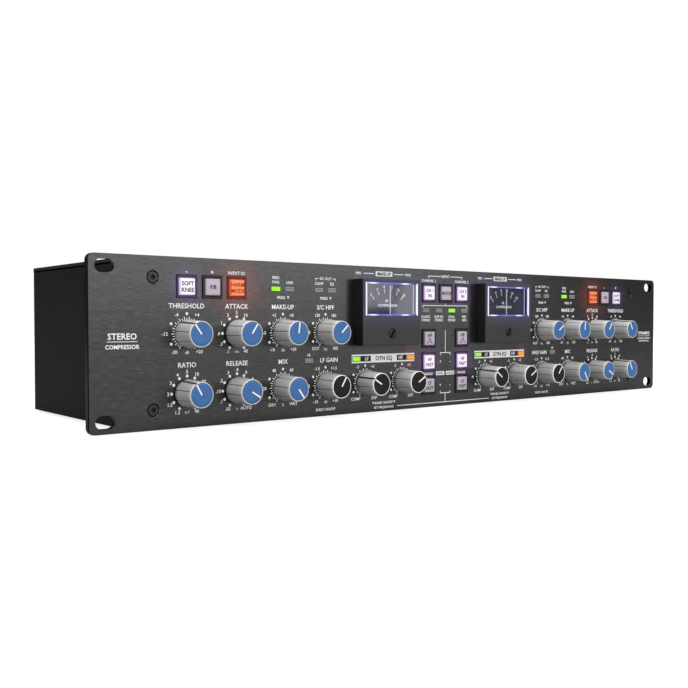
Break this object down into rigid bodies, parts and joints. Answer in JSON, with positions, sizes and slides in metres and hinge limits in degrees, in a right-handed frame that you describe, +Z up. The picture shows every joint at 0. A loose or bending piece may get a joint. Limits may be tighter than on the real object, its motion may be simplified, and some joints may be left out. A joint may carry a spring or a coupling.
{
  "type": "rack compressor",
  "caption": "Two-unit 19-inch stereo compressor with turning knobs, sprung push buttons and lit needle meters in a shallow black case.",
  "frame": {"origin": "centre of the bounding box's footprint, on the panel's lower edge", "axes": "+X right seen from the front, +Y to the back, +Z up; the front faces -Y"},
  "size_m": [0.4826, 0.151, 0.0881],
  "materials": {
    "panel": "black anodised, fine brushing",
    "case": "black powder coat",
    "knob_blue": "grey body with a blue cap",
    "knob_black": "grey body with a black cap",
    "steel": "plain shaft",
    "button": "translucent, lit from behind",
    "board": "circuit board with parts",
    "plastic": "black moulded plastic",
    "meter": "black moulded plastic",
    "needle": "white painted",
    "window": "clear acrylic"
  },
  "bodies": {
    "case": {"front_panel": "panel", "chassis_tray": "case", "top_cover": "case", "meter_housing_left": "meter", "meter_housing_right": "meter", "meter_window_left": "window", "meter_window_right": "window", "control_board": "board", "main_board": "board", "power_module": "board", "power_inlet": "plastic", "audio_socket_board": "plastic"},
    "knob_threshold_left": {"knob_threshold_left": "knob_blue"},
    "knob_attack_left": {"knob_attack_left": "knob_blue"},
    "shaft_makeup_left": {"shaft_makeup_left": "steel"},
    "knob_makeup_left": {"knob_makeup_left": "knob_blue"},
    "shaft_filter_left": {"shaft_filter_left": "steel"},
    "knob_filter_left": {"knob_filter_left": "knob_blue"},
    "knob_ratio_left": {"knob_ratio_left": "knob_blue"},
    "knob_release_left": {"knob_release_left": "knob_blue"},
    "knob_mix_left": {"knob_mix_left": "knob_blue"},
    "shaft_low_gain_left": {"shaft_low_gain_left": "steel"},
    "knob_low_gain_left": {"knob_low_gain_left": "knob_black"},
    "shaft_eq_outer_left": {"shaft_eq_outer_left": "steel"},
    "knob_eq_outer_left": {"knob_eq_outer_left": "knob_black"},
    "shaft_eq_inner_left": {"shaft_eq_inner_left": "steel"},
    "knob_eq_inner_left": {"knob_eq_inner_left": "knob_black"},
    "knob_threshold_right": {"knob_threshold_right": "knob_blue"},
    "knob_attack_right": {"knob_attack_right": "knob_blue"},
    "shaft_makeup_right": {"shaft_makeup_right": "steel"},
    "knob_makeup_right": {"knob_makeup_right": "knob_blue"},
    "shaft_filter_right": {"shaft_filter_right": "steel"},
    "knob_filter_right": {"knob_filter_right": "knob_blue"},
    "knob_ratio_right": {"knob_ratio_right": "knob_blue"},
    "knob_release_right": {"knob_release_right": "knob_blue"},
    "knob_mix_right": {"knob_mix_right": "knob_blue"},
    "shaft_low_gain_right": {"shaft_low_gain_right": "steel"},
    "knob_low_gain_right": {"knob_low_gain_right": "knob_black"},
    "shaft_eq_outer_right": {"shaft_eq_outer_right": "steel"},
    "knob_eq_outer_right": {"knob_eq_outer_right": "knob_black"},
    "shaft_eq_inner_right": {"shaft_eq_inner_right": "steel"},
    "knob_eq_inner_right": {"knob_eq_inner_right": "knob_black"},
    "button_left_outer": {"button_left_outer": "button"},
    "button_left_middle": {"button_left_middle": "button"},
    "button_left_inner": {"button_left_inner": "button"},
    "button_right_inner": {"button_right_inner": "button"},
    "button_right_middle": {"button_right_middle": "button"},
    "button_right_outer": {"button_right_outer": "button"},
    "button_centre_left": {"button_centre_left": "button"},
    "button_centre_middle": {"button_centre_middle": "button"},
    "button_centre_right": {"button_centre_right": "button"},
    "button_bell_left": {"button_bell_left": "button"},
    "button_bell_right": {"button_bell_right": "button"},
    "button_range_left": {"button_range_left": "button"},
    "button_range_right": {"button_range_right": "button"},
    "button_split_left": {"button_split_left": "button"},
    "button_split_right": {"button_split_right": "button"},
    "meter_needle_left": {"meter_needle_left": "needle"},
    "meter_needle_right": {"meter_needle_right": "needle"},
    "power_rocker": {"power_rocker": "plastic"}
  },
  "joints": [
    {"name": "knob_threshold_left_turn", "type": "hinge", "parent": "case", "child": "knob_threshold_left", "pos_m": [-0.188, -0.06, 0.0486], "axis": [0, 1, 0], "range_deg": [-114.5, 185.5]},
    {"name": "knob_attack_left_turn", "type": "hinge", "parent": "case", "child": "knob_attack_left", "pos_m": [-0.158, -0.06, 0.0486], "axis": [0, 1, 0], "range_deg": [-184.5, 115.5]},
    {"name": "shaft_makeup_left_press", "type": "slide", "parent": "case", "child": "shaft_makeup_left", "axis": [0, 1, 0], "range_m": [0, 0.0005], "stiffness_N_per_m": 600, "springref_m": -0.001},
    {"name": "knob_makeup_left_turn", "type": "hinge", "parent": "shaft_makeup_left", "child": "knob_makeup_left", "pos_m": [-0.128, -0.06, 0.0486], "axis": [0, 1, 0], "range_deg": [-157, 143]},
    {"name": "shaft_filter_left_press", "type": "slide", "parent": "case", "child": "shaft_filter_left", "axis": [0, 1, 0], "range_m": [0, 0.0005], "stiffness_N_per_m": 600, "springref_m": -0.001},
    {"name": "knob_filter_left_turn", "type": "hinge", "parent": "shaft_filter_left", "child": "knob_filter_left", "pos_m": [-0.098, -0.06, 0.0486], "axis": [0, 1, 0], "range_deg": [-196.5, 103.5]},
    {"name": "knob_ratio_left_turn", "type": "hinge", "parent": "case", "child": "knob_ratio_left", "pos_m": [-0.188, -0.06, 0.0179], "axis": [0, 1, 0], "range_deg": [-121.3, 178.7]},
    {"name": "knob_release_left_turn", "type": "hinge", "parent": "case", "child": "knob_release_left", "pos_m": [-0.158, -0.06, 0.0179], "axis": [0, 1, 0], "range_deg": [-271.7, 28.3]},
    {"name": "knob_mix_left_turn", "type": "hinge", "parent": "case", "child": "knob_mix_left", "pos_m": [-0.128, -0.06, 0.0179], "axis": [0, 1, 0], "range_deg": [-294.3, 5.7]},
    {"name": "shaft_low_gain_left_press", "type": "slide", "parent": "case", "child": "shaft_low_gain_left", "axis": [0, 1, 0], "range_m": [0, 0.0005], "stiffness_N_per_m": 600, "springref_m": -0.001},
    {"name": "knob_low_gain_left_turn", "type": "hinge", "parent": "shaft_low_gain_left", "child": "knob_low_gain_left", "pos_m": [-0.098, -0.06, 0.0179], "axis": [0, 1, 0], "range_deg": [-181, 119]},
    {"name": "shaft_eq_outer_left_press", "type": "slide", "parent": "case", "child": "shaft_eq_outer_left", "axis": [0, 1, 0], "range_m": [0, 0.0005], "stiffness_N_per_m": 600, "springref_m": -0.001},
    {"name": "knob_eq_outer_left_turn", "type": "hinge", "parent": "shaft_eq_outer_left", "child": "knob_eq_outer_left", "pos_m": [-0.068, -0.06, 0.0179], "axis": [0, 1, 0], "range_deg": [-91.4, 208.6]},
    {"name": "shaft_eq_inner_left_press", "type": "slide", "parent": "case", "child": "shaft_eq_inner_left", "axis": [0, 1, 0], "range_m": [0, 0.0005], "stiffness_N_per_m": 600, "springref_m": -0.001},
    {"name": "knob_eq_inner_left_turn", "type": "hinge", "parent": "shaft_eq_inner_left", "child": "knob_eq_inner_left", "pos_m": [-0.038, -0.06, 0.0179], "axis": [0, 1, 0], "range_deg": [-209, 91]},
    {"name": "knob_threshold_right_turn", "type": "hinge", "parent": "case", "child": "knob_threshold_right", "pos_m": [0.188, -0.06, 0.0486], "axis": [0, 1, 0], "range_deg": [-122, 178]},
    {"name": "knob_attack_right_turn", "type": "hinge", "parent": "case", "child": "knob_attack_right", "pos_m": [0.158, -0.06, 0.0486], "axis": [0, 1, 0], "range_deg": [-183, 117]},
    {"name": "shaft_makeup_right_press", "type": "slide", "parent": "case", "child": "shaft_makeup_right", "axis": [0, 1, 0], "range_m": [0, 0.0005], "stiffness_N_per_m": 600, "springref_m": -0.001},
    {"name": "knob_makeup_right_turn", "type": "hinge", "parent": "shaft_makeup_right", "child": "knob_makeup_right", "pos_m": [0.128, -0.06, 0.0486], "axis": [0, 1, 0], "range_deg": [-153, 147]},
    {"name": "shaft_filter_right_press", "type": "slide", "parent": "case", "child": "shaft_filter_right", "axis": [0, 1, 0], "range_m": [0, 0.0005], "stiffness_N_per_m": 600, "springref_m": -0.001},
    {"name": "knob_filter_right_turn", "type": "hinge", "parent": "shaft_filter_right", "child": "knob_filter_right", "pos_m": [0.098, -0.06, 0.0486], "axis": [0, 1, 0], "range_deg": [-208, 92]},
    {"name": "knob_ratio_right_turn", "type": "hinge", "parent": "case", "child": "knob_ratio_right", "pos_m": [0.188, -0.06, 0.0179], "axis": [0, 1, 0], "range_deg": [-122, 178]},
    {"name": "knob_release_right_turn", "type": "hinge", "parent": "case", "child": "knob_release_right", "pos_m": [0.158, -0.06, 0.0179], "axis": [0, 1, 0], "range_deg": [-271, 29]},
    {"name": "knob_mix_right_turn", "type": "hinge", "parent": "case", "child": "knob_mix_right", "pos_m": [0.128, -0.06, 0.0179], "axis": [0, 1, 0], "range_deg": [-299, 1]},
    {"name": "shaft_low_gain_right_press", "type": "slide", "parent": "case", "child": "shaft_low_gain_right", "axis": [0, 1, 0], "range_m": [0, 0.0005], "stiffness_N_per_m": 600, "springref_m": -0.001},
    {"name": "knob_low_gain_right_turn", "type": "hinge", "parent": "shaft_low_gain_right", "child": "knob_low_gain_right", "pos_m": [0.098, -0.06, 0.0179], "axis": [0, 1, 0], "range_deg": [-186, 114]},
    {"name": "shaft_eq_outer_right_press", "type": "slide", "parent": "case", "child": "shaft_eq_outer_right", "axis": [0, 1, 0], "range_m": [0, 0.0005], "stiffness_N_per_m": 600, "springref_m": -0.001},
    {"name": "knob_eq_outer_right_turn", "type": "hinge", "parent": "shaft_eq_outer_right", "child": "knob_eq_outer_right", "pos_m": [0.068, -0.06, 0.0179], "axis": [0, 1, 0], "range_deg": [-208, 92]},
    {"name": "shaft_eq_inner_right_press", "type": "slide", "parent": "case", "child": "shaft_eq_inner_right", "axis": [0, 1, 0], "range_m": [0, 0.0005], "stiffness_N_per_m": 600, "springref_m": -0.001},
    {"name": "knob_eq_inner_right_turn", "type": "hinge", "parent": "shaft_eq_inner_right", "child": "knob_eq_inner_right", "pos_m": [0.038, -0.06, 0.0179], "axis": [0, 1, 0], "range_deg": [-97, 203]},
    {"name": "button_left_outer_press", "type": "slide", "parent": "case", "child": "button_left_outer", "axis": [0, 1, 0], "range_m": [0, 0.0012], "stiffness_N_per_m": 250, "springref_m": -0.001},
    {"name": "button_left_middle_press", "type": "slide", "parent": "case", "child": "button_left_middle", "axis": [0, 1, 0], "range_m": [0, 0.0012], "stiffness_N_per_m": 250, "springref_m": -0.001},
    {"name": "button_left_inner_press", "type": "slide", "parent": "case", "child": "button_left_inner", "axis": [0, 1, 0], "range_m": [0, 0.0012], "stiffness_N_per_m": 250, "springref_m": -0.001},
    {"name": "button_right_inner_press", "type": "slide", "parent": "case", "child": "button_right_inner", "axis": [0, 1, 0], "range_m": [0, 0.0012], "stiffness_N_per_m": 250, "springref_m": -0.001},
    {"name": "button_right_middle_press", "type": "slide", "parent": "case", "child": "button_right_middle", "axis": [0, 1, 0], "range_m": [0, 0.0012], "stiffness_N_per_m": 250, "springref_m": -0.001},
    {"name": "button_right_outer_press", "type": "slide", "parent": "case", "child": "button_right_outer", "axis": [0, 1, 0], "range_m": [0, 0.0012], "stiffness_N_per_m": 250, "springref_m": -0.001},
    {"name": "button_centre_left_press", "type": "slide", "parent": "case", "child": "button_centre_left", "axis": [0, 1, 0], "range_m": [0, 0.0012], "stiffness_N_per_m": 250, "springref_m": -0.001},
    {"name": "button_centre_middle_press", "type": "slide", "parent": "case", "child": "button_centre_middle", "axis": [0, 1, 0], "range_m": [0, 0.0012], "stiffness_N_per_m": 250, "springref_m": -0.001},
    {"name": "button_centre_right_press", "type": "slide", "parent": "case", "child": "button_centre_right", "axis": [0, 1, 0], "range_m": [0, 0.0012], "stiffness_N_per_m": 250, "springref_m": -0.001},
    {"name": "button_bell_left_press", "type": "slide", "parent": "case", "child": "button_bell_left", "axis": [0, 1, 0], "range_m": [0, 0.0012], "stiffness_N_per_m": 250, "springref_m": -0.001},
    {"name": "button_bell_right_press", "type": "slide", "parent": "case", "child": "button_bell_right", "axis": [0, 1, 0], "range_m": [0, 0.0012], "stiffness_N_per_m": 250, "springref_m": -0.001},
    {"name": "button_range_left_press", "type": "slide", "parent": "case", "child": "button_range_left", "axis": [0, 1, 0], "range_m": [0, 0.0012], "stiffness_N_per_m": 250, "springref_m": -0.001},
    {"name": "button_range_right_press", "type": "slide", "parent": "case", "child": "button_range_right", "axis": [0, 1, 0], "range_m": [0, 0.0012], "stiffness_N_per_m": 250, "springref_m": -0.001},
    {"name": "button_split_left_press", "type": "slide", "parent": "case", "child": "button_split_left", "axis": [0, 1, 0], "range_m": [0, 0.0012], "stiffness_N_per_m": 250, "springref_m": -0.001},
    {"name": "button_split_right_press", "type": "slide", "parent": "case", "child": "button_split_right", "axis": [0, 1, 0], "range_m": [0, 0.0012], "stiffness_N_per_m": 250, "springref_m": -0.001},
    {"name": "meter_needle_left_swing", "type": "hinge", "parent": "case", "child": "meter_needle_left", "pos_m": [-0.053, -0.06, 0.0565], "axis": [0, 1, 0], "range_deg": [-45, 45], "stiffness_Nm_per_rad": 0.00005},
    {"name": "meter_needle_right_swing", "type": "hinge", "parent": "case", "child": "meter_needle_right", "pos_m": [0.053, -0.06, 0.0565], "axis": [0, 1, 0], "range_deg": [-45, 45], "stiffness_Nm_per_rad": 0.00005},
    {"name": "power_rocker_tilt", "type": "hinge", "parent": "case", "child": "power_rocker", "pos_m": [-0.15, 0.0734, 0.044], "axis": [1, 0, 0], "range_deg": [-14, 0]}
  ]
}
